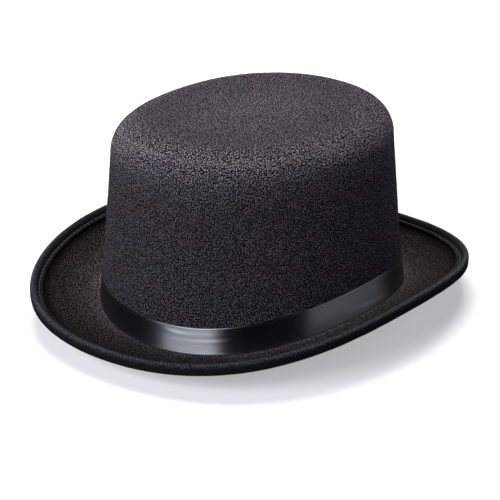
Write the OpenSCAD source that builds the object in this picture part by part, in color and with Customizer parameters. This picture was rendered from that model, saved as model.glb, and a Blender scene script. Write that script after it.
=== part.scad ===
// Top hat: a felt crown on a dished felt brim, with a wired and bound edge, a satin ribbon, and a
// lining and sweatband inside.
// +Z is up, the wearer faces -Y, the wearer's left is +X, and the hat stands on z = 0.

/* [Crown] */
// Width of the crown at its foot, across the head
foot_w = 184.8; // [165:0.2:200]
// Length of the crown at its foot, front to back
foot_l = 205.2; // [185:0.2:220]
// Width that the side's taper reaches at the height of the tip
tip_w = 155; // [140:0.5:190]
// Length that the side's taper reaches at the height of the tip
tip_l = 196.8; // [170:0.2:215]
// Height of the tip above the middle of the headline
crown_h = 122.3; // [90:0.1:180]
// Radius of the rounded shoulder between side and tip
shoulder_r = 21.5; // [8:0.5:30]
// How square the crown's oval is: 2 is an ellipse
squareness = 2.2; // [2:0.05:2.6]
// Thickness of the crown's felt
crown_felt_t = 2; // [1.5:0.1:3]
// Thickness of the stiff form under the felt
form_t = 0.9; // [0.6:0.1:1.2]

/* [Brim] */
// Width of the brim over the binding
brim_w = 256.6; // [230:0.2:300]
// Length of the brim over the binding
brim_l = 301.6; // [270:0.2:340]
// How much fuller than an ellipse the brim is at its four diagonals
brim_fullness = 0.048; // [0:0.004:0.08]
// Thickness of the brim's felt
brim_felt_t = 2.5; // [1.8:0.1:3]
// Height of the headline's sides above its middle, and of its middle above front and back
headline_rise = 6.9; // [0:0.1:9]
// Height of the rim at the sides, above the middle of the headline
rim_side_h = 19.9; // [8:0.1:30]
// Height of the rim at the front and back
rim_front_h = 2.6; // [0:0.1:8]
// Height of the rim at the diagonals
rim_diagonal_h = 9.4; // [4:0.1:18]
// Share of the brim's rise that is even, the rest growing towards the rim
brim_evenness = 0.6; // [0.3:0.05:1]
// Height of the collar that turns up inside the crown
collar_h = 12; // [8:0.5:16]

/* [Edge] */
// Width of the binding on top of the brim
binding_w = 7.6; // [7:0.1:9]
// Thickness of the binding's tape
tape_t = 0.8; // [0.6:0.05:0.9]
// Diameter of the wire in the bead
wire_d = 2; // [1.4:0.1:2]
// Number of stitches in the binding's groove
binding_stitch_count = 144; // [72:24:216]

/* [Ribbon] */
// Height of the ribbon
ribbon_h = 17.6; // [12:0.2:45]
// Thickness of the ribbon
ribbon_t = 0.5; // [0.3:0.05:0.8]
// Width of the keeper over the ribbon's join
keeper_w = 15; // [10:0.5:25]

/* [Inside] */
// Height of the sweatband
sweatband_h = 26; // [20:1:35]
// Thickness of the sweatband
sweatband_t = 1; // [0.6:0.1:1.2]
// Diameter of the sweatband's piped edge
reed_d = 2; // [1.6:0.1:2]
// Thickness of the satin lining
lining_t = 0.5; // [0.4:0.05:0.8]
// Length of the blank tab
tab_l = 26; // [15:1:40]

/* [Hidden] */

// Points round the hat in each row of a skin
around = 72;
// Steps in the shoulder's quarter round
shoulder_steps = 5;
// Slack between layers that lie on each other
slack = 0.05;
// The brim's underside at front and back is the lowest point, and stands on z = 0
lift = headline_rise + brim_felt_t;
// Layers of the crown, as depths below its outer face
form_depth = crown_felt_t + slack;
lining_depth = form_depth + form_t + slack;
collar_depth = crown_felt_t + slack;
collar_t = 2;
sweatband_depth = collar_depth + collar_t + 0.25;
head_depth = sweatband_depth + sweatband_t;
shoulder_z = crown_h - shoulder_r;
// Mean, two-lobed and four-lobed parts of the rim's height
rim_mean = (rim_side_h + rim_front_h) / 4 + rim_diagonal_h / 2;
rim_two = (rim_side_h - rim_front_h) / 2;
rim_four = (rim_side_h + rim_front_h) / 4 - rim_diagonal_h / 2;
// The rim's section is drawn from its outermost edge: inset inwards, and height above the rim's base
hem_inset = 7;
hem_height = 0.4;
felt_edge_inset = 1.2;
felt_edge_height = 2.4;
wire_inset = 2.35;
wire_height = 3.6;
groove_inset = 5.75;
groove_height = 2.15;
ribbon_gap = 0.75;
thread_r = 0.3;

function power(v, p) = sign(v) * pow(abs(v), p);

// A point of the crown's oval with half-axes a and b
function oval(a, b, t) = [a * power(cos(t), 2 / squareness), b * power(sin(t), 2 / squareness)];

function half_w(z) = (foot_w + (tip_w - foot_w) * z / crown_h) / 2;
function half_l(z) = (foot_l + (tip_l - foot_l) * z / crown_h) / 2;

// The headline dips to front and back and rises at the sides
function headline(t) = headline_rise * cos(2 * t);

// A point of the crown's side at height z above the middle of the headline, depth below its face
function side_point(t, z, depth) =
    let (p = oval(half_w(z) - depth, half_l(z) - depth, t))
    [p.x, p.y, z + lift];

// A point of the shoulder: phi is 0 at the top of the side and 90 at the tip
function shoulder_point(t, phi, depth) =
    let (r = shoulder_r - depth)
    let (in = shoulder_r - r * cos(phi))
    let (p = oval(half_w(shoulder_z) - in, half_l(shoulder_z) - in, t))
    [p.x, p.y, shoulder_z + r * sin(phi) + lift];

function rim_base(t) = rim_mean + rim_two * cos(2 * t) + rim_four * cos(4 * t);

// A point of the rim's section at angle t
function rim_point(t, inset, height) =
    let (full = 1 + brim_fullness * pow(sin(2 * t), 2))
    [(brim_w / 2 * full - inset) * cos(t), (brim_l / 2 * full - inset) * sin(t),
        rim_base(t) + height + lift];

// A point of the brim between the crown's foot (s = 0) and the hem (s = 1)
function brim_point(t, s, down) =
    let (foot = side_point(t, headline(t), 0))
    let (hem = rim_point(t, hem_inset, hem_height))
    let (rise = brim_evenness * s + (1 - brim_evenness) * s * s)
    [foot.x + (hem.x - foot.x) * s, foot.y + (hem.y - foot.y) * s,
        foot.z + (hem.z - foot.z) * rise - down];

// Rows of points that run right round the hat
function side_row(above, depth) =
    [for (i = [0 : around - 1]) let (t = i * 360 / around) side_point(t, headline(t) + above, depth)];
function level_row(z, depth) = [for (i = [0 : around - 1]) side_point(i * 360 / around, z, depth)];
function shoulder_row(phi, depth) = [for (i = [0 : around - 1]) shoulder_point(i * 360 / around, phi, depth)];
function rim_row(inset, height) = [for (i = [0 : around - 1]) rim_point(i * 360 / around, inset, height)];
function brim_row(s, down) = [for (i = [0 : around - 1]) brim_point(i * 360 / around, s, down)];

function shoulder_rows(depth, last) =
    [for (k = [1 : last]) shoulder_row(90 * k / shoulder_steps, depth)];
function reversed(list) = [for (k = [len(list) - 1 : -1 : 0]) list[k]];

// Triangles between row j and row k of points, each n long; open rows aren't joined end to end
function between(j, k, n, open = false) =
    [for (i = [0 : n - (open ? 2 : 1)])
        let (a = j * n + i, b = j * n + (i + 1) % n, c = k * n + (i + 1) % n, d = k * n + i)
        each [[a, b, c], [a, c, d]]];

// A ring whose rows follow each other round its section
module ring_skin(rows) {
    n = len(rows[0]);
    m = len(rows);
    polyhedron(
        points = [for (row = rows) each row],
        faces = [for (j = [0 : m - 1]) each between(j, (j + 1) % m, n)]);
}

// A cup or disc: rows from the middle of its inner face, over its edge, to the middle of its outer face
module cup_skin(rows) {
    n = len(rows[0]);
    m = len(rows);
    polyhedron(
        points = [for (row = rows) each row],
        faces = concat(
            [for (j = [0 : m - 2]) each between(j, j + 1, n)],
            [[for (i = [n - 1 : -1 : 0]) i]],
            [[for (i = [0 : n - 1]) (m - 1) * n + i]]));
}

// A short curved strip: four rows round its section, closed at both ends
module strip_skin(rows) {
    n = len(rows[0]);
    last = n - 1;
    polyhedron(
        points = [for (row = rows) each row],
        faces = concat(
            [for (j = [0 : 3]) each between(j, (j + 1) % 4, n, true)],
            [[0, n, 2 * n], [0, 2 * n, 3 * n]],
            [[last, last + 2 * n, last + n], [last, last + 3 * n, last + 2 * n]]));
}

// A strip on the crown's side from angle t0 to t1
module side_strip(t0, t1, steps, low, high, near, far) {
    function row(above, depth) =
        [for (i = [0 : steps])
            let (t = t0 + (t1 - t0) * i / steps)
            side_point(t, headline(t) + above, depth)];
    strip_skin([row(low, near), row(low, far), row(high, far), row(high, near)]);
}

// One straight stitch of thread between two points
module stitch(from, to, r) {
    v = to - from;
    translate(from)
        rotate([0, acos(v.z / norm(v)), atan2(v.y, v.x)])
            cylinder(h = norm(v), r = r, $fn = 16);
}

// The felt shell of the crown, open below
module crown_felt() {
    color("#25262b")
        cup_skin(concat(
            reversed(shoulder_rows(crown_felt_t, shoulder_steps)),
            [level_row(shoulder_z, crown_felt_t), side_row(slack, crown_felt_t)],
            [side_row(slack, 0), level_row(shoulder_z, 0)],
            shoulder_rows(0, shoulder_steps)));
}

// The stiff form under the felt, from the collar's edge to the tip
module crown_form() {
    foot = collar_h + 0.3;
    inner = form_depth + form_t;
    color("#3b332b")
        cup_skin(concat(
            reversed(shoulder_rows(inner, shoulder_steps)),
            [level_row(shoulder_z, inner), side_row(foot, inner)],
            [side_row(foot, form_depth), level_row(shoulder_z, form_depth)],
            shoulder_rows(form_depth, shoulder_steps)));
}

// The satin of the crown's side, up to the tip's edge
module side_lining() {
    foot = collar_h + 1;
    inner = lining_depth + lining_t;
    color("#1b1b20")
        ring_skin(concat(
            [side_row(foot, inner)],
            [side_row(foot, lining_depth), level_row(shoulder_z, lining_depth)],
            shoulder_rows(lining_depth, shoulder_steps),
            reversed(shoulder_rows(inner, shoulder_steps)),
            [level_row(shoulder_z, inner)]));
}

// The satin disc under the tip, inside the side lining's upper edge
module tip_lining() {
    edge = shoulder_r + 0.2;
    top = crown_h - lining_depth + lift;
    function disc_row(z) =
        [for (i = [0 : around - 1])
            let (p = oval(half_w(shoulder_z) - edge, half_l(shoulder_z) - edge, i * 360 / around))
            [p.x, p.y, z]];
    color("#1e1e24")
        cup_skin([disc_row(top - lining_t), disc_row(top)]);
}

// The brim with its edge in the hem, and its collar turned up inside the crown
module brim_felt() {
    spans = 5;
    collar_in = collar_depth + collar_t;
    top = [for (k = [0 : spans]) brim_row(k / spans, 0)];
    under = [for (k = [spans : -1 : 0]) brim_row(k / spans, brim_felt_t)];
    color("#221f1e")
        ring_skin(concat(
            [side_row(collar_h, collar_in), side_row(collar_h, collar_depth)],
            [side_row(0, collar_depth)],
            top,
            [rim_row(felt_edge_inset, felt_edge_height)],
            [rim_row(felt_edge_inset, felt_edge_height - brim_felt_t)],
            under,
            [side_row(-brim_felt_t, collar_depth)],
            [side_row(-brim_felt_t + 0.6, collar_depth + 1.4)],
            [side_row(-brim_felt_t + 2, collar_in)]));
}

// The wire in the bead of the binding
module brim_wire() {
    sides = 8;
    r = wire_d / 2;
    color("#8d9094")
        ring_skin([for (k = [0 : sides - 1])
            let (q = -360 * k / sides)
            rim_row(wire_inset + r * cos(q), wire_height + r * sin(q))]);
}

// The ferrule over the wire's ends, at the back
module wire_joiner() {
    long = 12;
    bore_r = wire_d / 2 + 0.15;
    mid = rim_point(90, wire_inset, wire_height);
    color("#a9a394")
        translate(mid - [long / 2, 0, 0])
            rotate([0, 90, 0])
                difference() {
                    cylinder(h = long, r = wire_d / 2 + 0.4, $fn = 32);
                    translate([0, 0, -1])
                        cylinder(h = long + 2, r = bore_r, $fn = 32);
                }
}

// The tape folded round the rim: over the wire as a bead, then down to a stitched groove and a lip
module edge_binding() {
    fold = binding_w - 0.2;
    color("#1b1b1e")
        ring_skin([
            rim_row(fold, -2.4),
            rim_row(1.1, -0.15),
            rim_row(0.9, 0.2),
            rim_row(0.9, 4),
            rim_row(1.5, 4.85),
            rim_row(2.6, 5.15),
            rim_row(3.7, 4.5),
            rim_row(4.9, 2.2),
            rim_row(5.6, 1.1),
            rim_row(fold, 0.35),
            rim_row(binding_w, 1.4),
            rim_row(fold, 2.5),
            rim_row(6.8, 2.95),
            rim_row(6.2, 2.8),
            rim_row(groove_inset, groove_height),
            rim_row(5.3, 3),
            rim_row(4.6, 4.7),
            rim_row(3.5, 5.7),
            rim_row(2.4, 5.95),
            rim_row(1.3, 5.85),
            rim_row(0.45, 5.2),
            rim_row(0, 4),
            rim_row(0, 0.4),
            rim_row(0.35, -0.5),
            rim_row(1.2, -0.15 - tape_t),
            rim_row(fold, -2.4 - tape_t)]);
}

// The machine stitches in the binding's groove
module binding_stitches() {
    step = 360 / binding_stitch_count;
    up = groove_height + thread_r + 0.25;
    color("#101012")
        for (k = [0 : binding_stitch_count - 1])
            stitch(
                rim_point((k - 0.33) * step, groove_inset, up),
                rim_point((k + 0.33) * step, groove_inset, up),
                thread_r);
}

// The satin ribbon round the crown's foot
module hat_band() {
    low = 0.3;
    high = low + ribbon_h;
    face = -ribbon_gap - ribbon_t;
    color("#0b0b0d")
        ring_skin([
            side_row(low, -ribbon_gap),
            side_row(high, -ribbon_gap),
            side_row(high, face),
            side_row(low, face)]);
}

// The loop over the ribbon's joined ends, at the back
module band_keeper() {
    half = keeper_w / foot_w * 180 / PI;
    near = -ribbon_gap - ribbon_t - slack;
    color("#111114")
        side_strip(90 - half, 90 + half, 4, 0.4, ribbon_h + 0.2, near, near - ribbon_t);
}

// Two thread tacks on the keeper
module keeper_stitches() {
    depth = -ribbon_gap - 2 * ribbon_t - slack - thread_r - 0.1;
    color("#101012")
        for (above = [3, ribbon_h - 3])
            stitch(
                side_point(88.6, headline(88.6) + above, depth),
                side_point(91.4, headline(91.4) + above, depth),
                thread_r);
}

// The seam that joins crown and brim, under the ribbon
module headline_stitches() {
    count = 72;
    step = 360 / count;
    depth = -thread_r - 0.05;
    color("#151517")
        for (k = [0 : count - 1])
            let (t0 = (k + 0.2) * step, t1 = (k + 0.8) * step)
                stitch(
                    side_point(t0, headline(t0) + 2.5, depth),
                    side_point(t1, headline(t1) + 2.5, depth),
                    thread_r);
}

// The woven band that the head touches
module sweatband() {
    low = 0.6;
    color("#2a2623")
        ring_skin([
            side_row(low, head_depth),
            side_row(low + sweatband_h, head_depth),
            side_row(low + sweatband_h, sweatband_depth),
            side_row(low, sweatband_depth)]);
}

// The piped edge below the sweatband
module sweatband_reed() {
    sides = 8;
    r = reed_d / 2;
    depth = sweatband_depth + r + 0.1;
    color("#211e1c")
        ring_skin([for (k = [0 : sides - 1])
            let (q = -360 * k / sides)
            side_row(-0.6 + r * sin(q), depth + r * cos(q))]);
}

// The stitches along the sweatband, just above its reed
module sweatband_stitches() {
    count = 96;
    step = 360 / count;
    depth = head_depth + thread_r + 0.1;
    color("#0f0f10")
        for (k = [0 : count - 1])
            let (t0 = (k + 0.2) * step, t1 = (k + 0.8) * step)
                stitch(
                    side_point(t0, headline(t0) + 3, depth),
                    side_point(t1, headline(t1) + 3, depth),
                    thread_r);
}

// The small bow over the sweatband's back seam: two loops and a knot
module sweatband_bow() {
    ribbon_w = 6;
    loop_l = 11;
    above = 15;
    depth = head_depth + 0.2;
    mid = side_point(90, headline(90) + above, depth);
    color("#141417")
        translate(mid - [0, 1.7, 0])
            union() {
                for (side = [-1, 1])
                    scale([side, 1, 1])
                        hull() {
                            translate([1, -0.7, -ribbon_w / 4])
                                cube([1, 1.4, ribbon_w / 2]);
                            translate([loop_l - 1.5, -1, -ribbon_w / 2])
                                cube([1.5, 2, ribbon_w]);
                        }
                rotate([90, 0, 0])
                    translate([0, 0, -1.5])
                        cylinder(h = 3, d = 4.5, $fn = 32);
            }
}

// The blank woven tab on the sweatband
module size_tab() {
    half = tab_l / foot_w * 180 / PI;
    depth = head_depth + 0.1;
    color("#d8d4c8")
        side_strip(128 - half, 128 + half, 6, 7, 19, depth + 0.5, depth);
}

crown_felt();
crown_form();
side_lining();
tip_lining();
brim_felt();
brim_wire();
wire_joiner();
edge_binding();
binding_stitches();
hat_band();
band_keeper();
keeper_stitches();
headline_stitches();
sweatband();
sweatband_reed();
sweatband_stitches();
sweatband_bow();
size_tab();
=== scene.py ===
import math

import bpy
import numpy as np
from mathutils import Matrix, Vector, noise


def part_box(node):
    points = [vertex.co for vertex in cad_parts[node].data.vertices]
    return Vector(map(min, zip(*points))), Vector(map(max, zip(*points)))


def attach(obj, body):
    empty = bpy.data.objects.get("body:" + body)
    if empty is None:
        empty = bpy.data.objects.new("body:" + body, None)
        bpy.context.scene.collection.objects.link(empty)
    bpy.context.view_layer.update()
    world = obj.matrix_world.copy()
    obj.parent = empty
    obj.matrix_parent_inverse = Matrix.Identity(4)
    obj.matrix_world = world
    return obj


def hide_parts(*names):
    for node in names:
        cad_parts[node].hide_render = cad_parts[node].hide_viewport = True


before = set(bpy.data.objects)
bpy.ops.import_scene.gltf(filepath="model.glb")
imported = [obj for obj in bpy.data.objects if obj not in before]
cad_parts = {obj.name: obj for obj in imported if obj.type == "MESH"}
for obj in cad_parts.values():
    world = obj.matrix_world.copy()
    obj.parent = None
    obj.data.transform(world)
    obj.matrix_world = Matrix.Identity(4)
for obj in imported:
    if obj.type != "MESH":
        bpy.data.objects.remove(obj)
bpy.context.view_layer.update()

# ---------------------------------------------------------------- the hat's driving sizes, in metres

# the crown: its outside at the headline, and at the tip as if its side ran on past the shoulder
FOOT_W, FOOT_L = 0.1848, 0.2052
TIP_W, TIP_L = 0.1550, 0.1968
SQUARENESS = 2.2  # exponent of the crown's oval; 2 is an ellipse
SHOULDER_R = 0.0215
HEADLINE_RISE = 0.0069  # at the sides; it falls as much at the front and the back
CROWN_FELT_T, FORM_T, LINING_T = 0.0020, 0.0009, 0.0005

# the brim: its rim is higher at the sides, and heights of the rim are above the headline's middle
BRIM_FELT_T = 0.0025
BRIM_FULLNESS = 0.048  # how much fuller than an ellipse it is on its diagonals
BRIM_EVENNESS = 0.6  # 1 would climb evenly from foot to hem, and 0 would start level
RIM_SIDE_H, RIM_FRONT_H, RIM_DIAGONAL_H = 0.0199, 0.0026, 0.0094
COLLAR_H, COLLAR_T = 0.012, 0.0020

# what lies in the rim's section, by its inset from the edge and its height above the base
HEM_INSET, HEM_HEIGHT = 0.0070, 0.0004
WIRE_D, WIRE_INSET, WIRE_HEIGHT = 0.0020, 0.00235, 0.0036
GROOVE_INSET, GROOVE_HEIGHT = 0.00575, 0.00215

# the trimmings; the ribbon stands off the crown by its gap, and its top leans back in
RIBBON_H, RIBBON_T, RIBBON_GAP, RIBBON_LEAN = 0.0176, 0.0004, 0.00055, 0.0004
PRICK_PITCH = 0.00141  # along the ribbon's selvedges
KEEPER_W = 0.015
SWEATBAND_H, SWEATBAND_T, REED_D = 0.026, 0.001, 0.0020
TAB_L, TAB_H, TAB_ANGLE = 0.026, 0.012, 128.0  # the angle is in degrees from +X
THREAD_R, THREAD_SIDES = 0.0003, 8
RIB_PITCH, RIB_SLANT = 0.00165, 0.6  # along the tape, and the shift along it for each step across

SLACK = 0.00005  # air between pieces that lie on each other
HAIR = 0.00002  # by how much a face stands clear of the solid beside it
TURN = 2 * math.pi
UP = np.array([0.0, 0.0, 1.0])

# painted light and shade on the cloth: pairs of a place, as its UV counts it, and a tone that scales its
# colour
TAPE_LIGHT_AND_SHADE = (  # metres across the tape: a painted highlight along the bead's outer crest and the lip's top, painted shade under the bead, on its inner face, in the groove and on the lip's inner wall
    (0.0010, 0.10), (0.0090, 0.10), (0.0112, 0.22), (0.0126, 0.75), (0.0140, 1.0), (0.0153, 0.42),
    (0.0165, 0.15), (0.0190, 0.09), (0.0208, 0.06), (0.0218, 0.04), (0.0223, 0.50), (0.0229, 1.1),
    (0.0236, 1.0), (0.0242, 0.12), (0.0260, 0.05), (0.0450, 0.05),
)
CROWN_LIGHT_AND_SHADE = (  # 0 to 1 up the side, 1 to 2 over the shoulder, 2 to 3 in to the tip's middle: painted shade on the side and a painted highlight on the shoulder
    (0.01, 0.52), (0.85, 0.56), (1.25, 1.20), (1.6, 1.05), (2.1, 0.70), (3.2, 0.66),
)
BRIM_LIGHT_AND_SHADE = (  # 0 at the crown's foot, 1 at the hem, 2 to 3 back along the underside: painted light by the crown's foot, painted shade towards the hem and on the underside
    (0.01, 3.6), (0.25, 1.7), (0.55, 1.0), (0.82, 0.72), (0.90, 0.30), (1.0, 0.10), (1.2, 0.5),
    (2.0, 0.8), (3.2, 0.8),
)

BRIM_W = 2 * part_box("edge_binding")[1][0]
BRIM_L = 2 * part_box("edge_binding")[1][1]
TIP_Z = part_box("crown_felt")[1][2]
LIFT = HEADLINE_RISE + BRIM_FELT_T
CROWN_H = TIP_Z - LIFT
SHOULDER_Z = CROWN_H - SHOULDER_R

FORM_DEPTH = CROWN_FELT_T + SLACK
LINING_DEPTH = FORM_DEPTH + FORM_T + SLACK
COLLAR_DEPTH = CROWN_FELT_T + SLACK
SWEATBAND_DEPTH = COLLAR_DEPTH + COLLAR_T + 5 * SLACK
HEAD_DEPTH = SWEATBAND_DEPTH + SWEATBAND_T

# ---------------------------------------------------------------- the hat's surfaces


def power(v, p):
    """v to the power p, with v's sign kept."""
    return np.sign(v) * np.abs(v) ** p


def oval(a, b, t):
    """X and Y on a squarish oval with half widths a and b."""
    return a * power(np.cos(t), 2 / SQUARENESS), b * power(np.sin(t), 2 / SQUARENESS)


def half_w(z):
    """Half the crown's width, at height z above the middle of the headline."""
    return (FOOT_W + (TIP_W - FOOT_W) * z / CROWN_H) / 2


def half_l(z):
    """Half the crown's length there."""
    return (FOOT_L + (TIP_L - FOOT_L) * z / CROWN_H) / 2


def headline(t):
    """Height of the line where crown and brim meet, above its own middle."""
    return HEADLINE_RISE * np.cos(2 * t)


def side(t, z, depth):
    """Points of the crown's side, at height z above the middle of the headline."""
    x, y = oval(half_w(z) - depth, half_l(z) - depth, t)
    return np.stack(np.broadcast_arrays(x, y, z + LIFT), -1)


def shoulder(t, phi, depth):
    """Points of the shoulder; phi is 0 at the side's top and a quarter turn at the tip."""
    r = SHOULDER_R - depth
    inwards = SHOULDER_R - r * math.cos(phi)
    x, y = oval(half_w(SHOULDER_Z) - inwards, half_l(SHOULDER_Z) - inwards, t)
    return np.stack(np.broadcast_arrays(x, y, SHOULDER_Z + r * math.sin(phi) + LIFT), -1)


def tip(t, share, depth):
    """Points of the flat tip; share is 1 at the shoulder and 0 in the middle."""
    x, y = oval(half_w(SHOULDER_Z) - SHOULDER_R, half_l(SHOULDER_Z) - SHOULDER_R, t)
    return np.stack(np.broadcast_arrays(x * share, y * share, TIP_Z - depth), -1)


def rim(t, inset, height):
    """Points of the rim's section, from its outermost edge inwards and its base upwards."""
    full = 1 + BRIM_FULLNESS * np.sin(2 * t) ** 2
    mean = (RIM_SIDE_H + RIM_FRONT_H) / 4 + RIM_DIAGONAL_H / 2
    four = (RIM_SIDE_H + RIM_FRONT_H) / 4 - RIM_DIAGONAL_H / 2
    base = mean + (RIM_SIDE_H - RIM_FRONT_H) / 2 * np.cos(2 * t) + four * np.cos(4 * t)
    return np.stack(np.broadcast_arrays(
        (BRIM_W / 2 * full - inset) * np.cos(t),
        (BRIM_L / 2 * full - inset) * np.sin(t),
        base + height + LIFT), -1)


def brim(t, s, down):
    """Points of the brim, from the crown's foot (s = 0) to the hem (s = 1)."""
    foot, hem = side(t, headline(t), 0), rim(t, HEM_INSET, HEM_HEIGHT)
    rise = BRIM_EVENNESS * s + (1 - BRIM_EVENNESS) * s * s
    out = foot + (hem - foot) * s
    out[..., 2] = foot[..., 2] + (hem[..., 2] - foot[..., 2]) * rise - down
    return out


def even_angles(count, curve, first=0.0, last=TURN):
    """count + 1 angles from first to last that cut curve(t) into equal lengths, and those lengths' sum."""
    fine = np.linspace(first, last, 4001)
    steps = np.linalg.norm(np.diff(curve(fine), axis=0), axis=1)
    run = np.concatenate([[0], np.cumsum(steps)])
    return np.interp(np.linspace(0, run[-1], count + 1), run, fine), run[-1]


def along_foot(count):
    """count angles that go evenly round the crown's foot, and the foot's length."""
    angles, long = even_angles(count, lambda t: side(t, headline(t), 0))
    return angles[:-1], long


# ---------------------------------------------------------------- mesh making


def new_object(name, points, faces):
    """A smooth mesh object in the scene."""
    mesh = bpy.data.meshes.new(name)
    mesh.from_pydata(points, [], faces)
    mesh.shade_smooth()
    thing = bpy.data.objects.new(name, mesh)
    bpy.context.scene.collection.objects.link(thing)
    return thing


def skin(name, rows, round_it=True, loop=False, fans=False, uv=None):
    """A quad mesh over rows of points. Rows that run right round close on themselves, and loop joins the
    last row to the first. Fans close the first and last row. uv is the length of the rows and the place of
    each row."""
    rows = np.asarray(rows, float)
    m, n, _ = rows.shape
    row, spot = np.indices((m if loop else m - 1, n if round_it else n - 1))
    ahead, beside = (row + 1) % m, (spot + 1) % n
    quads = np.stack([row * n + spot, row * n + beside, ahead * n + beside, ahead * n + spot], -1)
    points = rows.reshape(-1, 3)
    faces = quads.reshape(-1, 4).tolist()
    for end in (0, m - 1) if fans else ():
        centre = len(points)
        points = np.vstack([points, rows[end].mean(0)])
        for k in range(n):
            a, b = end * n + k, end * n + (k + 1) % n
            faces.append([centre, b, a] if end == 0 else [centre, a, b])
    thing = new_object(name, points.tolist(), faces)
    if uv is not None:
        long, across = uv
        u = np.linspace(0, long, (n if round_it else n - 1) + 1)
        v = np.append(across, 2 * across[-1] - across[-2])
        corners = ((row, spot), (row, spot + 1), (row + 1, spot + 1), (row + 1, spot))
        place = np.stack([np.stack([u[i], v[j]], -1) for j, i in corners], 2).reshape(-1, 2)
        if fans:
            fan_u = np.repeat(u[:n], 3)
            ends = [np.stack([fan_u, np.full(3 * n, across[end])], -1) for end in (0, -1)]
            place = np.concatenate([place, *ends])
        thing.data.uv_layers.new(name="cloth").data.foreach_set("uv", place.ravel())
    return thing


def units(vectors):
    """The vectors at a length of one."""
    return vectors / np.maximum(np.linalg.norm(vectors, axis=-1, keepdims=True), 1e-12)


def normals(rows, round_it=True):
    """The outward direction at each point of a grid of rows."""
    if round_it:
        along = np.roll(rows, -1, 1) - np.roll(rows, 1, 1)
    else:
        along = np.gradient(rows, axis=1)
    across = np.gradient(rows, axis=0)
    return units(np.cross(along, across))


def raised(rows, height, round_it=True):
    """The rows, moved outwards by the height at each point."""
    return rows + normals(rows, round_it) * height[..., None]


def lumps(rows, size, seed=0.0):
    """Smooth noise from -1 to 1 at each point, with lumps of that size in metres."""
    flat = rows.reshape(-1, 3) / size + seed
    return np.array([noise.noise(Vector(p)) for p in flat]).reshape(rows.shape[:-1])


def finish_piece(thing, slot, material, *nodes):
    """Gives a piece its material, on the root body, in place of its CAD nodes. The slot is not used."""
    thing.data.materials.append(material)
    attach(thing, "root")
    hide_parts(*nodes)


def tube(points, radius, sides, sideways):
    """Rings along a thread that follows points; sideways is a direction off its line at each point."""
    ahead = units(np.gradient(points, axis=0))
    side_on = units(sideways - (sideways * ahead).sum(1, keepdims=True) * ahead)
    up = np.cross(ahead, side_on)
    radius = np.broadcast_to(radius, len(points))[:, None]
    angles = np.linspace(0, TURN, sides, endpoint=False)
    return np.stack([points + radius * (side_on * math.cos(q) + up * math.sin(q)) for q in angles], 1)


def add_rod(points, faces, sections):
    """Adds a rod with flat ends to a mesh's lists; sections are the rings of points along it."""
    rings, sides = sections.shape[:2]
    first = len(points)
    points.extend(sections.reshape(-1, 3).tolist())
    for r in range(rings - 1):
        for q in range(sides):
            a, b = first + r * sides + q, first + r * sides + (q + 1) % sides
            faces.append([a, b, b + sides, a + sides])
    faces.append([first + q for q in reversed(range(sides))])
    faces.append([first + (rings - 1) * sides + q for q in range(sides)])


def thread_ends(rings, thinnest):
    """Places from -1 to 1 along a stitch, and its thickness there, rounded off at both ends."""
    shape = np.linspace(-1, 1, rings)
    return shape, np.sqrt(np.maximum(1 - np.abs(shape) ** 5, thinnest))


def stitches(name, curve, outward, count, fill, radius, arch=0.3):
    """One mesh of thread stitches along curve(t), each with rounded ends that dip into the cloth."""
    points, faces = [], []
    shape, thick = thread_ends(9, 0.02)
    dip = arch * radius * 2 * (1 - shape ** 2)
    for k in range(count):
        t = (k + fill / 2 * shape) * TURN / count
        line = curve(t) + outward(t) * dip[:, None]
        add_rod(points, faces, tube(line, radius * thick, THREAD_SIDES, outward(t)))
    return new_object(name, points, faces)


# ---------------------------------------------------------------- materials


def scaled(colour, by):
    return tuple(by * c for c in colour)


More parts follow.
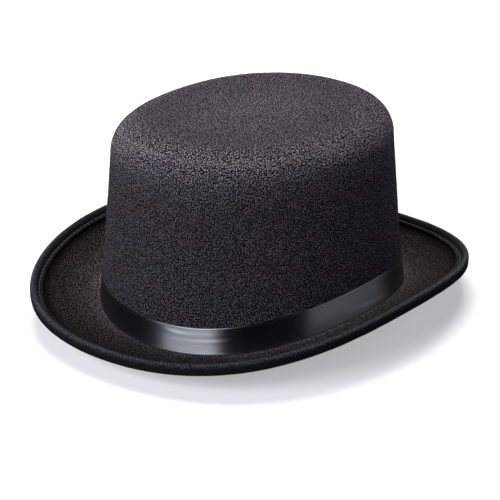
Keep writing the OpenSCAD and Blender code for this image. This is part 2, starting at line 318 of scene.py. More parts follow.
class Look:
    """A material with one Principled shader, and short names for adding nodes."""

    def __init__(self, name, colour, rough, **sockets):
        self.material = bpy.data.materials.new(name)
        self.material.use_nodes = True
        self.tree = self.material.node_tree
        self.shader = self.tree.nodes["Principled BSDF"]
        self.shader.inputs["Base Color"].default_value = (*colour, 1)
        self.shader.inputs["Roughness"].default_value = rough
        for key, value in sockets.items():
            title = key.replace("_", " ").title().replace("Ior", "IOR")
            self.shader.inputs[title].default_value = value

    def add(self, kind, values=None, **settings):
        node = self.tree.nodes.new("ShaderNode" + kind)
        for key, value in settings.items():
            setattr(node, key, value)
        for key, value in (values or {}).items():
            if isinstance(value, bpy.types.NodeSocket):
                self.tree.links.new(value, node.inputs[key])
            else:
                node.inputs[key].default_value = value
        return node

    def link(self, out, socket):
        self.tree.links.new(out, self.shader.inputs[socket])

    def math(self, operation, *values):
        return self.add("Math", dict(enumerate(values)), operation=operation).outputs[0]

    def times(self, a, b):
        return self.math("MULTIPLY", a, b)

    def plus(self, a, b):
        return self.math("ADD", a, b)

    def minus(self, a, b):
        return self.math("SUBTRACT", a, b)

    def vector(self, operation, values):
        return self.add("VectorMath", values, operation=operation).outputs

    def wave(self, place, pitch):
        """A sine along the place, with that pitch."""
        return self.math("SINE", self.times(place, TURN / pitch))

    def solid(self):
        """The place in the object's own metres."""
        return self.add("TexCoord").outputs["Object"]

    def cloth(self):
        """The place on the flat cloth: X along it and Y across it."""
        return self.add("UVMap", uv_map="cloth").outputs[0]

    def parts(self, vector):
        return self.add("SeparateXYZ", {0: vector}).outputs

    def noise(self, place, scale, detail=2.0, rough=0.5):
        values = {"Vector": place, "Scale": scale, "Detail": detail, "Roughness": rough}
        return self.add("TexNoise", values).outputs

    def drawn_noise(self, place, scales, detail, rough):
        """Noise with a scale of its own along each axis."""
        place = self.add("Mapping", {"Vector": place, "Scale": scales}).outputs[0]
        return self.noise(place, 1.0, detail, rough)["Fac"]

    def blend(self, factor, a, b, way="MIX"):
        node = self.add("Mix", data_type="RGBA", blend_type=way)
        sockets = (node.inputs[0], node.inputs[6], node.inputs[7])
        for socket, value in zip(sockets, (factor, a, b), strict=True):
            if isinstance(value, bpy.types.NodeSocket):
                self.tree.links.new(value, socket)
            else:
                socket.default_value = value if isinstance(value, float) else (*value, 1)
        return node.outputs[2]

    def tinted(self, colour, tint):
        return self.blend(1.0, colour, tint, "MULTIPLY")

    def painted_light_and_shade(self, colour, light_and_shade):
        """The colour times painted light and shade, from pairs of a place across the cloth and a tone."""
        span = light_and_shade[-1][0]
        across = self.parts(self.cloth())["Y"]
        tones = self.add("ValToRGB", {"Fac": self.times(across, 1 / span)})
        stops = tones.color_ramp.elements
        for at, tone in light_and_shade:
            stops.new(at / span).color = (tone, tone, tone, 1)
        stops.remove(stops[0])
        stops.remove(stops[-1])
        return self.tinted(colour, tones.outputs["Color"])

    def ramp(self, value, low, high):
        """0 below low and 1 above high, with a smooth step between."""
        return self.add("MapRange", {"Value": value, "From Min": low, "From Max": high},
                        interpolation_type="SMOOTHSTEP").outputs[0]

    def bump(self, height, distance, strength=1.0):
        values = {"Height": height, "Distance": distance, "Strength": strength}
        self.link(self.add("Bump", values).outputs[0], "Normal")


def tufts(look, place, grain):
    """One light tuft of wool to each cell of a loose grid laid on the cloth, with ragged edges."""
    ragged, loose = 0.9 / grain, 0.8
    edge, rarity = 0.40, 2.8  # where a tuft fades out, and how few tufts are bright
    least, uneven = 0.3, 1.4
    bend = look.noise(place, grain * 2.5)["Color"]
    swing = look.vector("SUBTRACT", {0: bend, 1: (0.5, 0.5, 0.5)})[0]
    swing = look.vector("SCALE", {0: swing, "Scale": ragged})[0]
    bent = look.vector("ADD", {0: place, 1: swing})[0]
    cells = look.add("TexVoronoi", {"Vector": bent, "Scale": grain, "Randomness": loose},
                     voronoi_dimensions="2D").outputs
    near = look.math("POWER", look.ramp(look.minus(1.0, cells["Distance"]), edge, 1.0), rarity)
    tone = look.parts(cells["Color"])["X"]
    return look.times(near, look.plus(look.times(tone, uneven), least))


def felt_look(name, dark, light, warm, grain, light_and_shade, upright):
    """Pressed wool: light tufts on a dark ground, over a slightly uneven dye. On upright felt the tufts lie
    along the wall as far as the middle of the shoulder."""
    look = Look(name, dark, 0.95, specular_ior_level=0.01, sheen_weight=0.003, sheen_roughness=0.5)
    place = look.solid()
    wool = tufts(look, place, grain)
    fine = look.noise(place, grain * 3, 2, 0.6)["Fac"]
    if upright:
        around = look.parts(look.cloth())
        wall = look.add("CombineXYZ", {0: around["X"], 1: look.parts(place)["Z"]}).outputs[0]
        over = look.ramp(around["Y"], 1.4, 1.6)
        standing = look.times(tufts(look, wall, grain), look.minus(1.0, over))
        wool = look.plus(look.times(wool, over), standing)
    share = look.times(wool, look.plus(fine, 0.5))
    dye = look.ramp(look.noise(place, DYE_PATCHES, 3)["Fac"], 0.3, 0.7)
    tint = look.blend(dye, (1.0, 1.0, 1.0), warm)
    colour = look.tinted(look.blend(share, dark, light), tint)
    # painted light and shade: the felt's colour is scaled by place from its light_and_shade table
    look.link(look.painted_light_and_shade(colour, light_and_shade), "Base Color")
    look.link(look.plus(look.times(share, -0.12), 0.98), "Roughness")
    look.bump(look.plus(share, fine), FELT_BUMP)
    return look.material


def tape_look(name, dark, light):
    """Twill tape: the slanted ribs are in the mesh, and the material paints shade into the hollows between
    them and speckles their crests."""
    look = Look(name, dark, 0.85, specular_ior_level=0.08)
    place = look.cloth()
    parts = look.parts(place)
    ribs = look.wave(look.plus(parts["X"], look.times(parts["Y"], RIB_SLANT)), RIB_PITCH)
    yarns = look.wave(parts["Y"], TAPE_YARN)
    fuzz = look.noise(look.solid(), FUZZ, 3, 0.6)["Fac"]
    # painted shade: darker in the hollows between the mesh's ribs, lighter on their crests
    rib_shade_and_yarns = look.plus(look.times(ribs, 0.15), look.times(yarns, 0.02))
    ribbed = look.math("POWER", look.ramp(look.plus(fuzz, rib_shade_and_yarns), 0.38, 0.70), 2.0)
    specks = look.plus(look.times(tufts(look, place, TAPE_SPECKS), 5.0), 0.45)
    share = look.times(ribbed, specks)
    # painted highlight on the bead's crest and the lip, painted shade on the rest of the tape
    look.link(look.painted_light_and_shade(look.blend(share, dark, light), TAPE_LIGHT_AND_SHADE), "Base Color")
    look.link(look.plus(look.times(fuzz, 0.25), 0.7), "Roughness")
    look.bump(look.plus(look.times(yarns, 0.25), look.times(fuzz, 4.0)), 0.00022)
    return look.material


def satin_look(name, colour, rough, gloss, width=None):
    """Satin: a smooth face of long warp floats, glossy across the thread's run, with faint streaks. A
    ribbon of that width has dull selvedges, each with a row of pricks beside it, painted pale as glints off
    the raised selvedge thread."""
    look = Look(name, colour, rough, specular_ior_level=SATIN_SHINE, ior=gloss, anisotropic=1.0,
                anisotropic_rotation=0.25)
    look.link(look.add("Tangent", direction_type="RADIAL", axis="Z").outputs[0], "Tangent")
    place = look.cloth()
    parts = look.parts(place)
    streaks = look.drawn_noise(place, (60.0, 1400.0, 1.0), 3, 0.6)
    grain = look.drawn_noise(place, (2600.0, 400.0, 1.0), 2, 0.6)
    look.link(look.plus(look.times(streaks, 0.10), rough - 0.05), "Roughness")
    warp = look.times(look.wave(parts["Y"], WARP_PITCH), 0.25)
    look.bump(look.plus(warp, look.plus(streaks, grain)), 0.00002, 0.6)
    face = look.blend(streaks, scaled(colour, 0.6), scaled(colour, 1.5))
    if width:
        edge = width / 2
        out = look.math("ABSOLUTE", look.minus(parts["Y"], edge))
        selvedge = look.ramp(out, edge - 0.0006, edge - 0.0001)
        look.link(look.plus(look.times(selvedge, -0.75), SATIN_SHINE), "Specular IOR Level")
        # painted glints: a dotted pale line just inside each selvedge, where its raised thread catches
        # light
        row = look.minus(look.ramp(out, edge - 0.0011, edge - 0.0009),
                         look.ramp(out, edge - 0.0007, edge - 0.0005))
        pricks = look.plus(look.times(look.wave(parts["X"], PRICK_PITCH), 0.5), 0.5)
        face = look.blend(look.times(row, pricks), face, (0.035, 0.035, 0.038))
    look.link(face, "Base Color")
    return look.material


def thread_look(name, colour):
    """Thread: its twist shows as slanted bands."""
    look = Look(name, colour, 0.6, specular_ior_level=0.35, sheen_weight=0.1)
    twist = look.add("TexWave", {"Vector": look.solid(), "Scale": 900.0, "Distortion": 1.5},
                     bands_direction="DIAGONAL").outputs["Fac"]
    look.link(look.blend(twist, colour, scaled(colour, 2.2)), "Base Color")
    look.bump(twist, 0.0001, 0.7)
    return look.material


def plain_weave_look(name, dark, light, pitch):
    """Plain or ribbed cotton, from its yarns' pitch in metres."""
    rough = 0.85
    look = Look(name, dark, rough, specular_ior_level=0.25, sheen_weight=0.1)
    parts = look.parts(look.cloth())
    weave = look.times(look.wave(parts["X"], pitch), look.wave(parts["Y"], 0.7 * pitch))
    fuzz = look.noise(look.solid(), FUZZ, 3, 0.65)["Fac"]
    share = look.ramp(look.plus(look.times(weave, 0.2), fuzz), 0.3, 0.75)
    look.link(look.blend(share, dark, light), "Base Color")
    look.link(look.plus(look.times(fuzz, 0.2), rough - 0.1), "Roughness")
    look.bump(look.plus(weave, fuzz), 0.00012, 0.8)
    return look.material


def metal_look(name, colour, rough, drawn):
    """Drawn metal: fine scratches along one direction and a few dull spots."""
    look = Look(name, colour, rough, metallic=1.0)
    place = look.solid()
    lines = look.drawn_noise(place, drawn, 4, 0.7)
    spots = look.noise(place, 300.0, 3)["Fac"]
    look.link(look.plus(look.times(lines, 0.2), look.times(spots, rough)), "Roughness")
    look.link(look.blend(spots, scaled(colour, 0.6), colour), "Base Color")
    look.bump(lines, 0.00003, 0.5)
    return look.material


def moulded_look(name, colour, rough):
    """A moulded board: a fine grain, and faint marks of how it flowed."""
    look = Look(name, colour, rough, specular_ior_level=0.4)
    place = look.solid()
    grain = look.noise(place, 900.0, 4, 0.6)["Fac"]
    flow = look.noise(place, 30.0, 3)["Fac"]
    look.link(look.blend(flow, colour, scaled(colour, 1.5)), "Base Color")
    look.link(look.plus(look.times(grain, 0.2), rough - 0.1), "Roughness")
    look.bump(grain, 0.0002, 0.5)
    return look.material


def floor_look(name, colour, glow, bounce):
    """A plain matt sweep that glows as a light table does, more so further off. Only what the camera sees
    has the glow and the full colour, so that little of its light reaches the hat."""
    look = Look(name, colour, 0.9, specular_ior_level=0.1)
    look.shader.inputs["Emission Color"].default_value = (1.0, 1.0, 1.0, 1)
    seen = look.add("LightPath").outputs["Is Camera Ray"]
    place = look.solid()
    far = look.ramp(look.vector("LENGTH", {0: place})["Value"], 0.5, 1.6)
    look.link(look.times(seen, look.plus(glow, look.times(far, 1.0 - glow))), "Emission Strength")
    grain = look.noise(place, 400.0, 3)["Fac"]
    sweep = look.blend(grain, scaled(colour, 0.985), colour)
    look.link(look.blend(seen, scaled(colour, bounce), sweep), "Base Color")
    return look.material


FELT_BUMP, DYE_PATCHES = 0.0006, 38.0
FUZZ = 1300.0
TAPE_YARN, TAPE_SPECKS = 0.00045, 880.0
SATIN_SHINE, WARP_PITCH = 0.9, 0.00032

CROWN_FELT = felt_look("crown_felt_wool", dark=(0.003, 0.003, 0.004), light=(0.470, 0.444, 0.484),
                       warm=(1.06, 1.0, 0.97), grain=900.0, light_and_shade=CROWN_LIGHT_AND_SHADE, upright=True)
BRIM_FELT = felt_look("brim_felt_wool", dark=(0.002, 0.002, 0.002), light=(0.105, 0.098, 0.097),
                      warm=(1.05, 0.98, 0.95), grain=780.0, light_and_shade=BRIM_LIGHT_AND_SHADE, upright=False)
TAPE = tape_look("binding_tape_ribs", dark=(0.0015, 0.0015, 0.002), light=(0.084, 0.084, 0.096))
RIBBON = satin_look("ribbon_satin_black", (0.0010, 0.0010, 0.0013), rough=0.30, gloss=2.0, width=RIBBON_H)
THREAD = thread_look("thread_black", (0.010, 0.010, 0.012))
LINING = satin_look("lining_satin_black", (0.008, 0.008, 0.011), rough=0.45, gloss=1.5)
SWEATBAND_CLOTH = plain_weave_look("sweatband_cotton", dark=(0.010, 0.009, 0.009),
                                   light=(0.050, 0.044, 0.040), pitch=0.0011)
TAB_CLOTH = plain_weave_look("tab_woven", dark=(0.42, 0.40, 0.35), light=(0.72, 0.70, 0.64), pitch=0.0006)
WIRE = metal_look("wire_steel", (0.50, 0.51, 0.53), rough=0.35, drawn=(2500.0, 2500.0, 60.0))
FERRULE = metal_look("ferrule_brass", (0.62, 0.50, 0.26), rough=0.40, drawn=(60.0, 2500.0, 2500.0))
FORM = moulded_look("form_moulded", (0.045, 0.040, 0.036), rough=0.7)

# ---------------------------------------------------------------- the pieces


def up_and_over(t, depth, foot, spans):
    """Rows from foot above the headline, up the crown's side, over the shoulder and in to the tip's middle;
    spans is how many rows each of these three has."""
    up, over, inwards = spans
    z0 = headline(t) + foot
    rows = [side(t, z0 + (SHOULDER_Z - z0) * k / up, depth) for k in range(up)]
    rows += [shoulder(t, TURN / 4 * k / over, depth) for k in range(over)]
    return np.array(rows + [tip(t, 1 - k / inwards, depth) for k in range(inwards)])


def crown_shell(name, depth, thick, foot, detail, relief):
    """A closed shell with the crown's shape: its inner face, then its outer one with the relief."""
    t, long = along_foot(detail)
    spans = (detail // 6, detail // 20, detail // 12)
    outer = up_and_over(t, depth, foot, spans)
    outer = raised(outer, relief(outer))
    inner = up_and_over(t, depth + thick, foot, (8, 6, 8))[::-1]
    place = [0.0] * len(inner) + [k + j / n for k, n in enumerate(spans) for j in range(n)]
    return skin(name, np.concatenate([inner, outer]), fans=True, uv=(long, place))


def make_crown():
    """The crown's felt, with fine and broad lumps."""
    def relief(rows):
        return 0.00010 * lumps(rows, 0.004) + 0.00022 * lumps(rows, 0.022, seed=5.0)
    shell = crown_shell("crown_felt_shell", depth=0.0, thick=CROWN_FELT_T, foot=SLACK, detail=440,
                        relief=relief)
    finish_piece(shell, "crown_felt", CROWN_FELT, "crown_felt")


def make_form():
    """The moulded form inside the crown's felt, above the collar."""
    def relief(rows):
        return 0.00001 * lumps(rows, 0.01, seed=2.0)
    shell = crown_shell("crown_form_shell", depth=FORM_DEPTH + HAIR, thick=FORM_T - 2 * HAIR,
                        foot=COLLAR_H + 0.0003, detail=180, relief=relief)
    finish_piece(shell, "crown_form", FORM, "crown_form")


def make_brim():
    """The brim with its collar: up the collar's inside, down its outside, out to the hem and back below."""
    t, long = along_foot(540)
    spans, collar_spans = 44, 4
    z0 = headline(t)
    steps = range(collar_spans + 1)
    collar = [side(t, z0 + COLLAR_H * k / collar_spans, COLLAR_DEPTH + COLLAR_T) for k in steps[1:]]
    collar += [side(t, z0 + COLLAR_H * k / collar_spans, COLLAR_DEPTH) for k in steps[::-1]]
    top = [brim(t, k / spans, 0) for k in range(spans + 1)]
    hem = ((0.0013, 0.0024), (0.0012, 0.0018), (0.0012, 0.0004), (0.0013, -0.0001))
    edge = [rim(t, inset, height) for inset, height in hem]
    under = [brim(t, k / spans, BRIM_FELT_T) for k in range(spans, -1, -1)]
    turn = [side(t, z0 - BRIM_FELT_T, COLLAR_DEPTH)]
    turn += [side(t, z0 - BRIM_FELT_T + 0.002 * (1 - math.cos(q)), COLLAR_DEPTH + COLLAR_T * math.sin(q))
             for q in np.linspace(0.25, TURN / 4, 5)]
    rows = np.array(collar + top + edge + under + turn)
    height = 0.00007 * lumps(rows, 0.0035, seed=9.0) + 0.00018 * lumps(rows, 0.03, seed=3.0)
    open_felt = np.zeros((len(rows), 1))
    open_felt[len(collar) + 2:len(collar) + spans - 6] = 1
    open_felt[len(collar) + len(top) + len(edge) + 6:-len(turn) - 2] = 1
    rows = raised(rows, height * open_felt)
    place = [0.0] * len(collar) + [k / spans for k in range(spans + 1)] + [1.1, 1.2, 1.3, 1.4]
    place += [3 - k / spans for k in range(spans, -1, -1)] + [3.0] * len(turn)
    piece = skin("brim_felt_shell", rows, loop=True, uv=(long, place))
    finish_piece(piece, "brim_felt", BRIM_FELT, "brim_felt")


def rounded(corners):
    """A closed outline with each of its corners cut across."""
    out = np.array(corners)
    ahead = np.roll(out, -1, 0)
    return np.stack([0.75 * out + 0.25 * ahead, 0.25 * out + 0.75 * ahead], 1).reshape(-1, 2)


def make_binding():
    """The ribbed tape, folded over the hem and its wire."""
    # the tape's section, in millimetres: inset from the rim's edge, and height above its base
    face = [(7.5, -3.0), (4.3, -2.1), (1.2, -0.98), (0.25, -0.62), (-0.02, 0.6), (-0.02, 2.2), (0.0, 4.0),
            (0.4, 5.4), (1.5, 6.02), (2.8, 5.98), (4.1, 5.5), (5.0, 4.1), (5.45, 2.4), (5.75, 2.05),
            (6.05, 2.5), (6.5, 3.0), (7.1, 2.98), (7.6, 2.3), (7.55, 0.5)]
    back = [(6.9, 0.62), (5.2, 1.6), (4.3, 3.7), (3.0, 4.95), (1.3, 4.75), (0.95, 3.0), (0.95, 0.2),
            (1.2, -0.25), (7.4, -2.4)]
    outline = 0.001 * rounded(face + back)
    samples = 6  # for each rib

    def edge(t):
        return rim(t, 0, 0.003)
    _, long = even_angles(400, edge)
    ribs = round(long / RIB_PITCH)
    t, long = even_angles(ribs * samples, edge)
    t = t[:-1]
    rows = np.array([rim(t, inset, height) for inset, height in outline])
    across = np.concatenate([[0], np.cumsum(np.linalg.norm(np.diff(outline, axis=0), axis=1))])
    run = np.linspace(0, ribs * RIB_PITCH, len(t), endpoint=False)
    rib = np.sin(TURN * (run + RIB_SLANT * across[:, None]) / RIB_PITCH)
    height = 0.00020 * rib + 0.00012 * lumps(rows, 0.012, seed=4.0)
    height[2 * len(face) - 1:] = 0
    piece = skin("edge_binding_tape", raised(rows, height), loop=True, uv=(ribs * RIB_PITCH, across))
    finish_piece(piece, "binding_tape", TAPE, "edge_binding")


def up_at(t):
    """The upward direction at each angle t."""
    return np.tile(UP, (*t.shape, 1))


def out_at(t):
    """The crown's outward direction at angle t, level."""
    step = 0.001
    ahead = side(t + step, 0.0, 0.0) - side(t - step, 0.0, 0.0)
    return units(np.cross(ahead, UP))


def make_threads():
    """The stitches in the binding's groove, along the headline's seam and along the sweatband's foot."""
    def groove(t):
        return rim(t, GROOVE_INSET, GROOVE_HEIGHT + 0.0002)

    def seam(t):
        return side(t, headline(t) + 0.0025, -THREAD_R)

    def sweat_seam(t):
        return side(t, headline(t) + 0.003, HEAD_DEPTH + 0.0002)
    rows = (
        stitches("binding_stitch_row", groove, up_at, count=216, fill=0.72, radius=0.00033),
        stitches("headline_stitch_row", seam, out_at, count=110, fill=0.66, radius=THREAD_R, arch=0.1),
        stitches("sweatband_stitch_row", sweat_seam, lambda t: -out_at(t), count=150, fill=0.68,
                 radius=0.00028),
    )
    nodes = ("binding_stitches", "headline_stitches", "sweatband_stitches")
    for piece, node in zip(rows, nodes, strict=True):
        finish_piece(piece, "thread", THREAD, node)


def make_wire():
    """The wire ring inside the rolled hem."""
    t, _ = even_angles(480, lambda a: rim(a, WIRE_INSET, WIRE_HEIGHT))
    t = t[:-1]
    r = WIRE_D / 2
    angles = np.linspace(0, -TURN, 16, endpoint=False)
    rows = [rim(t, WIRE_INSET + r * math.cos(q), WIRE_HEIGHT + r * math.sin(q)) for q in angles]
    finish_piece(skin("brim_wire_ring", rows, loop=True), "brim_wire", WIRE, "brim_wire")


def creases(run, across, seed, count, long, tall, deep):
    """Soft creases that run along a ribbon: each a long low ridge with a hollow beside it."""
    rng = np.random.default_rng(seed)
    out = np.zeros(np.broadcast(run, across).shape)
    whole = run.max()
    for _ in range(count):
        at, mid = rng.uniform(0, whole), rng.uniform(0.15, 0.85)
        length, width = long * rng.uniform(0.5, 1.6), tall * rng.uniform(0.6, 1.4)
        tilt = rng.uniform(-0.05, 0.05)
        along = (run - at + whole / 2) % whole - whole / 2
        off = (across - mid - tilt * along / length) / width
        out += deep * rng.uniform(0.4, 1.0) * np.exp(-(along / length) ** 2) * -off * np.exp(-off ** 2)
    return out


def make_ribbon():
    """The satin ribbon, pulled round the crown's foot: woven edges, soft creases, and a little slack."""
    t, long = along_foot(1760)
    spans = 22
    edge_w = 0.0006
    share = np.linspace(0, 1, spans + 1)
    z0 = headline(t) + 0.0003
    run = np.linspace(0, long, len(t), endpoint=False)[None]
    near, far = (np.array([side(t, z0 + RIBBON_H * k, RIBBON_LEAN * k - RIBBON_GAP - thick) for k in share])
                 for thick in (0, RIBBON_T))
    edge = np.exp(-((np.minimum(share, 1 - share) * RIBBON_H) / edge_w) ** 2)[:, None]
    pricks = np.cos(TURN * run / PRICK_PITCH)
    height = creases(run, share[:, None], seed=11, count=22, long=0.012, tall=0.10, deep=0.0003)
    height += 0.00008 * np.sin(math.pi * share)[:, None] * lumps(far, 0.02, seed=6.0)
    height += edge * (0.00010 + 0.00009 * pricks)
    slack_out = 0.0002 * np.clip(lumps(far, 0.05, seed=8.0), -0.2, 1) * share[:, None] ** 2
    outer = raised(far, height + slack_out)
    inner = raised(near[::-1], -0.9 * slack_out[::-1])
    across = np.concatenate([share * RIBBON_H, RIBBON_H + RIBBON_T + share * RIBBON_H])
    piece = skin("hat_band_ribbon", np.concatenate([outer, inner]), loop=True, uv=(long, across))
    finish_piece(piece, "ribbon_satin", RIBBON, "hat_band")


def strip(name, angles, heights, depths, steps, spans, relief):
    """A short curved strip on the crown's side, closed all round, with a relief on its outer face. angles
    are in degrees, heights are above the headline, and depths are its back's and its face's."""
    low, high = heights
    near, far = depths
    t, long = even_angles(steps, lambda a: side(a, headline(a), 0), *np.radians(angles))
    share = np.linspace(0, 1, spans + 1)
    z0 = headline(t) + low
    face = np.array([side(t, z0 + (high - low) * k, far) for k in share])
    face = raised(face, relief(np.linspace(-1, 1, steps + 1)[None], share[:, None]), False)
    back = np.array([side(t, z0 + (high - low) * k, near) for k in share[::-1]])
    rows = np.concatenate([face, back])
    piece = skin(name, rows, round_it=False, loop=True,
                 uv=(long, np.linspace(0, 2 * (high - low), len(rows))))
    close_ends(piece, len(rows), steps + 1)
    return piece, long


def close_ends(piece, rows, per_row):
    """Closes a strip's two open ends, row by row, from its face to its back."""
    mesh = piece.data
    points = [v.co[:] for v in mesh.vertices]
    faces = [list(p.vertices) for p in mesh.polygons]
    uvs = [d.uv[:] for d in mesh.uv_layers[0].data]
    for end, flip in ((0, False), (per_row - 1, True)):
        for k in range(rows // 2 - 1):
            a, b, c, d = (row * per_row + end for row in (k, k + 1, rows - 2 - k, rows - 1 - k))
            faces.append([d, c, b, a] if flip else [a, b, c, d])
    mesh.clear_geometry()
    mesh.from_pydata(points, [], faces)
    mesh.shade_smooth()
    layer = mesh.uv_layers.new(name="cloth")
    uvs += [(0.0, 0.0)] * (len(layer.data) - len(uvs))
    layer.data.foreach_set("uv", np.array(uvs).ravel())


def make_keeper():
    """The short loop over the ribbon's joined ends, folded under at both ends, and its two tacks."""
    back = 90
    half = math.degrees(KEEPER_W / FOOT_W)
    near = -RIBBON_GAP - RIBBON_T - SLACK

    def relief(along, share):
        fold = 0.00035 * np.exp(-((1 - np.abs(along)) / 0.10) ** 2)
        return fold + 0.00012 * np.sin(9 * share + 2 * along) * (1 - along ** 2)
    piece, long = strip("band_keeper_loop", (back - half, back + half), (0.0002, RIBBON_H + 0.0004),
                        (near, near - RIBBON_T), steps=40, spans=30, relief=relief)
    finish_piece(piece, "ribbon_satin", RIBBON, "band_keeper")
    tack_half, tack_inset = 1.4, 0.003
    t = np.radians(np.linspace(back - tack_half, back + tack_half, 9))
    lines = [side(t, headline(t) + above, near - RIBBON_T - THREAD_R)
             for above in (tack_inset, RIBBON_H - tack_inset)]
    make_tacks("keeper_tacks", lines, "keeper_stitches")


def make_tacks(name, lines, node):
    """Short thick thread tacks, each along its own line."""
    points, faces = [], []
    for line in lines:
        _, thick = thread_ends(len(line), 0.03)
        add_rod(points, faces, tube(line, THREAD_R * thick, THREAD_SIDES, up_at(line[:, 0])))
    finish_piece(new_object(name, points, faces), "thread", THREAD, node)


def make_sweatband():
    """The ribbed cotton band inside the headline, a little slack at its top, and the reed at its foot."""
    t, long = along_foot(1500)
    spans, ribs, reed_turns = 16, 300, 180
    share = np.linspace(0, 1, spans + 1)
    low = headline(t) + 0.0006
    run = np.linspace(0, long, len(t), endpoint=False)
    face = np.array([side(t, low + SWEATBAND_H * k, HEAD_DEPTH) for k in share[::-1]])
    slackness = 0.0004 * lumps(face, 0.03, seed=12.0) * share[::-1][:, None]
    face = raised(face, 0.00006 * np.sin(TURN * run / (long / ribs)) + slackness)
    back = np.array([side(t, low + SWEATBAND_H * k, SWEATBAND_DEPTH) for k in share])
    across = np.concatenate([share * SWEATBAND_H, (1 + share) * SWEATBAND_H])
    piece = skin("sweatband_cloth", np.concatenate([back, face]), loop=True, uv=(long, across))
    finish_piece(piece, "sweatband", SWEATBAND_CLOTH, "sweatband")

    t, long = along_foot(900)
    angles = np.linspace(0, -TURN, 14, endpoint=False)
    depth = SWEATBAND_DEPTH + REED_D / 2 + 2 * SLACK
    run = np.linspace(0, long, len(t), endpoint=False)
    ring = REED_D / 2 + 0.00006 * np.sin(TURN * run / (long / reed_turns))
    low = headline(t) - 0.0006
    rows = [side(t, low + ring * math.sin(q), depth + ring * math.cos(q)) for q in angles]
    cloth_round = 0.006
    piece = skin("sweatband_piping", rows, loop=True, uv=(long, np.linspace(0, cloth_round, len(rows))))
    finish_piece(piece, "sweatband", SWEATBAND_CLOTH, "sweatband_reed")


def make_linings():
    """The side lining, gathered towards the tip, and the tip's disc inside its edge."""
    t, long = along_foot(1200)
    inner, outer = LINING_DEPTH + LINING_T, LINING_DEPTH + HAIR
    z0 = headline(t) + COLLAR_H + 0.001

    def wall(depth, up, over):
        rows = [side(t, z0 + (SHOULDER_Z - z0) * k / up, depth) for k in range(up)]
        return np.array(rows + [shoulder(t, TURN / 4 * k / over, depth) for k in range(over + 1)])
    face = wall(inner, 24, 14)[::-1]
    run = np.linspace(0, TURN, len(t), endpoint=False)
    place = np.linspace(1, 0, len(face))[:, None]
    gathers = ((61, 0.3), (83, 1.9), (47, 4.0), (119, 2.2))  # folds in the whole round, and their start
    folds = sum(np.sin(k * run + start) for k, start in gathers) / len(gathers)
    deep = 0.00032 * place ** 1.5 + 0.00008
    face = raised(face, deep * (folds + 0.6 * lumps(face, 0.02, seed=14.0)) + 0.0002)
    rows = np.concatenate([wall(outer, 6, 8), face])
    piece = skin("side_lining_satin", rows, loop=True, uv=(long, np.linspace(0, 0.25, len(rows))))
    finish_piece(piece, "lining_satin", LINING, "side_lining")

    t, _ = along_foot(240)
    radius = half_w(SHOULDER_Z) - SHOULDER_R
    shares = np.linspace(0, 1 - 0.0002 / radius, 26)[1:]
    under = np.array([tip(t, s, LINING_DEPTH + LINING_T) for s in shares])
    over = np.array([tip(t, s, LINING_DEPTH) for s in shares[::-1]])
    height = 0.0001 + 0.00018 * lumps(under, 0.02, seed=20.0)
    height[-2:] = 0
    under[..., 2] -= height
    rows = np.concatenate([under, over])[:, ::-1]
    piece = skin("tip_lining_satin", rows, fans=True, uv=(0.3, np.linspace(0, 0.3, len(rows))))
    finish_piece(piece, "lining_satin", LINING, "tip_lining")
    wide, long = TIP_W - 2 * SHOULDER_R, TIP_L - 2 * SHOULDER_R


def make_bow():
    """The flat bow on the sweatband's back seam: two loops of narrow ribbon, two tails and a knot."""
    back = np.array(TURN / 4)
    mid = side(back, headline(back) + 0.015, HEAD_DEPTH)
    width, half_t = 0.0055, 0.00013
    ribbons = []
    for way in (-1, 1):
        s = np.linspace(0, 1, 25)
        bulge = np.sin(math.pi * s)
        ribbons.append((way * 0.0108 * bulge ** 0.8,
                        -0.0009 - 0.0011 * bulge * np.where(s < 0.5, 1, -0.35),
                        0.0012 * np.sin(TURN * s) + 0.0004 * way,
                        width * (0.45 + 0.55 * bulge ** 0.7)))
        s = np.linspace(0, 1, 15)
        ribbons.append((way * (0.0012 + 0.0065 * s), -0.0005 - 0.0004 * s, -0.0011 - 0.0072 * s,
                        width * (0.4 + 0.4 * s)))
    points, faces = [], []
    across = np.linspace(-0.5, 0.5, 5)
    across = np.append(across, across[::-1])[:, None]
    lift = np.repeat([-half_t, half_t], 5)[:, None] + 0.00025 * (1 - (2 * across) ** 2)
    for x, y, z, wide in ribbons:
        path = np.stack([x, y, z], 1)
        ahead = units(np.gradient(path, axis=0))
        flat = units(np.stack([-ahead[:, 2], np.zeros_like(x), ahead[:, 0]], 1))
        flat = np.where(flat[:, 2:] < 0, -flat, flat)
        out = np.cross(ahead, flat)
        sections = path[:, None] + flat[:, None] * across * wide[:, None, None] + out[:, None] * lift
        add_rod(points, faces, mid + sections)
    rings, sides = 9, 20
    q = math.pi * (np.arange(rings)[:, None] + 0.5) / rings
    a = TURN * np.arange(sides) / sides
    girth = np.sin(q) ** 0.6
    knot = (0.0021 * girth * np.cos(a) * (1 + 0.06 * np.cos(6 * a)), -0.0012 - 0.0010 * np.cos(q),
            0.0027 * girth * np.sin(a))
    add_rod(points, faces, mid + np.stack(np.broadcast_arrays(*knot), -1))
    piece = new_object("sweatband_bow_ribbon", points, faces)
    finish_piece(piece, "ribbon_satin", LINING, "sweatband_bow")


def make_tab():
    """The blank woven tab, with folded ends."""
    half = math.degrees(TAB_L / FOOT_W)
    foot = 0.007

    def relief(along, share):
        ends = np.exp(-((1 - np.abs(along)) / 0.12) ** 2)
        return -0.0001 * ends - 0.00012 * np.sin(math.pi * share)
    piece, _ = strip("size_tab_blank", (TAB_ANGLE + half, TAB_ANGLE - half), (foot, foot + TAB_H),
                     (HEAD_DEPTH + 0.0001, HEAD_DEPTH + 0.0005), steps=60, spans=24, relief=relief)
    finish_piece(piece, "size_tab", TAB_CLOTH, "size_tab")


def dress_ferrule():
    """The wire's ferrule keeps its CAD mesh, in brass."""
    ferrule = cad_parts["wire_joiner"]
    ferrule.data.materials.clear()
    ferrule.data.materials.append(FERRULE)


# ---------------------------------------------------------------- stage, light and camera


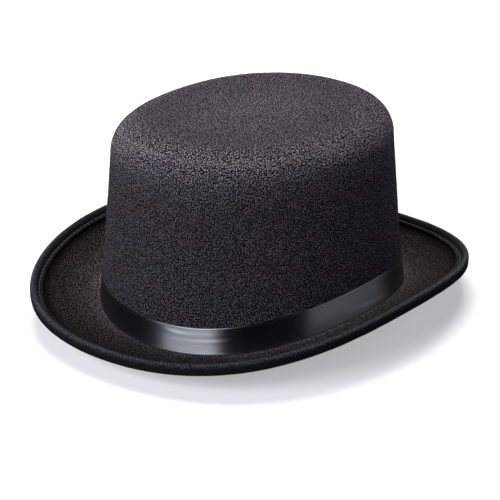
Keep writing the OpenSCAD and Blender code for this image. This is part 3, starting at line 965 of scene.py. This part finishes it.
FLOOR_W, FLOOR_SQUARES = 6.0, 8
ROOM_GLOW = 0.006
LIGHTS = (
    # name, azimuth, elevation, distance, width, height, watts, colour
    ("key_left", -6, 27, 1.3, 0.95, 0.6, 32, (0.93, 0.97, 1.10)),
    ("fill_right", 125, 25, 1.3, 1.3, 0.6, 6.0, (0.93, 0.97, 1.10)),
    ("back_top", -142, 64, 1.6, 1.1, 1.1, 65, (1.03, 1.0, 0.97)),
)
LIGHTS_AIM = Vector((0, 0, 0.06))
CAMERA_AIM = Vector((0, 0, 0.050 + LIFT))
CAMERA_LENS, CAMERA_SENSOR = 131.9, 36.0
CAMERA_AZIMUTH, CAMERA_ELEVATION, CAMERA_DISTANCE = 38.24, 21.57, 1.195
CAMERA_ROLL, CAMERA_PAN, CAMERA_TILT = 0.42, 0.11924, -1.15141


def direction(azimuth, elevation):
    """A unit vector from the hat; azimuth 0 is in front of it, towards -Y, and 90 at its +X side."""
    a, e = math.radians(azimuth), math.radians(elevation)
    return Vector((math.sin(a) * math.cos(e), -math.cos(a) * math.cos(e), math.sin(e)))


def softbox(name, azimuth, elevation, distance, width, height, watts, colour):
    """A rectangular area light that faces the hat."""
    lamp = bpy.data.lights.new(name, "AREA")
    lamp.shape = "RECTANGLE"
    lamp.size, lamp.size_y, lamp.energy = width, height, watts
    lamp.color = colour
    thing = bpy.data.objects.new(name, lamp)
    towards = direction(azimuth, elevation)
    thing.location = LIGHTS_AIM + towards * distance
    thing.rotation_mode = "QUATERNION"
    thing.rotation_quaternion = towards.to_track_quat("Z", "Y")
    bpy.context.scene.collection.objects.link(thing)


def make_floor():
    """The floor, a square of squares."""
    n = FLOOR_SQUARES
    lines = [(k / n - 0.5) * FLOOR_W for k in range(n + 1)]
    points = [(x, y, 0.0) for y in lines for x in lines]
    corners = [j * (n + 1) + i for j in range(n) for i in range(n)]
    floor = new_object("floor", points, [[k, k + 1, k + n + 2, k + n + 1] for k in corners])
    floor.data.materials.append(floor_look("floor_pale", (0.36, 0.36, 0.36), glow=0.40, bounce=0.45))


def make_room():
    """The room: white where the camera sees it, and a faint glow as a light."""
    world = bpy.data.worlds.new("studio")
    world.use_nodes = True
    bpy.context.scene.world = world
    tree = world.node_tree
    background = tree.nodes["Background"]
    background.inputs["Color"].default_value = (1.0, 1.0, 1.0, 1)
    seen = tree.nodes.new("ShaderNodeLightPath").outputs["Is Camera Ray"]
    strength = tree.nodes.new("ShaderNodeMapRange")
    strength.inputs["To Min"].default_value = ROOM_GLOW
    strength.inputs["To Max"].default_value = 1.0
    tree.links.new(seen, strength.inputs["Value"])
    tree.links.new(strength.outputs[0], background.inputs["Strength"])
    bpy.context.scene.view_settings.view_transform = "Standard"


def make_camera():
    """The camera: it faces its aim, and then pans, tilts and rolls a little."""
    camera = bpy.data.cameras.new("camera")
    camera.lens = CAMERA_LENS
    camera.sensor_width = CAMERA_SENSOR
    camera.clip_start, camera.clip_end = 0.01, 50
    thing = bpy.data.objects.new("camera", camera)
    bpy.context.scene.collection.objects.link(thing)
    bpy.context.scene.camera = thing
    back = direction(CAMERA_AZIMUTH, CAMERA_ELEVATION)
    thing.location = CAMERA_AIM + back * CAMERA_DISTANCE
    thing.rotation_mode = "QUATERNION"
    turn = back.to_track_quat("Z", "Y")
    for angle, axis in ((CAMERA_ROLL, "Z"), (CAMERA_PAN, "Y"), (CAMERA_TILT, "X")):
        turn = turn @ Matrix.Rotation(math.radians(angle), 4, axis).to_quaternion()
    thing.rotation_quaternion = turn


make_crown()
make_form()
make_linings()
make_brim()
make_wire()
dress_ferrule()
make_binding()
make_ribbon()
make_keeper()
make_threads()
make_sweatband()
make_bow()
make_tab()
make_floor()
make_room()
for lamp in LIGHTS:
    softbox(*lamp)
make_camera()
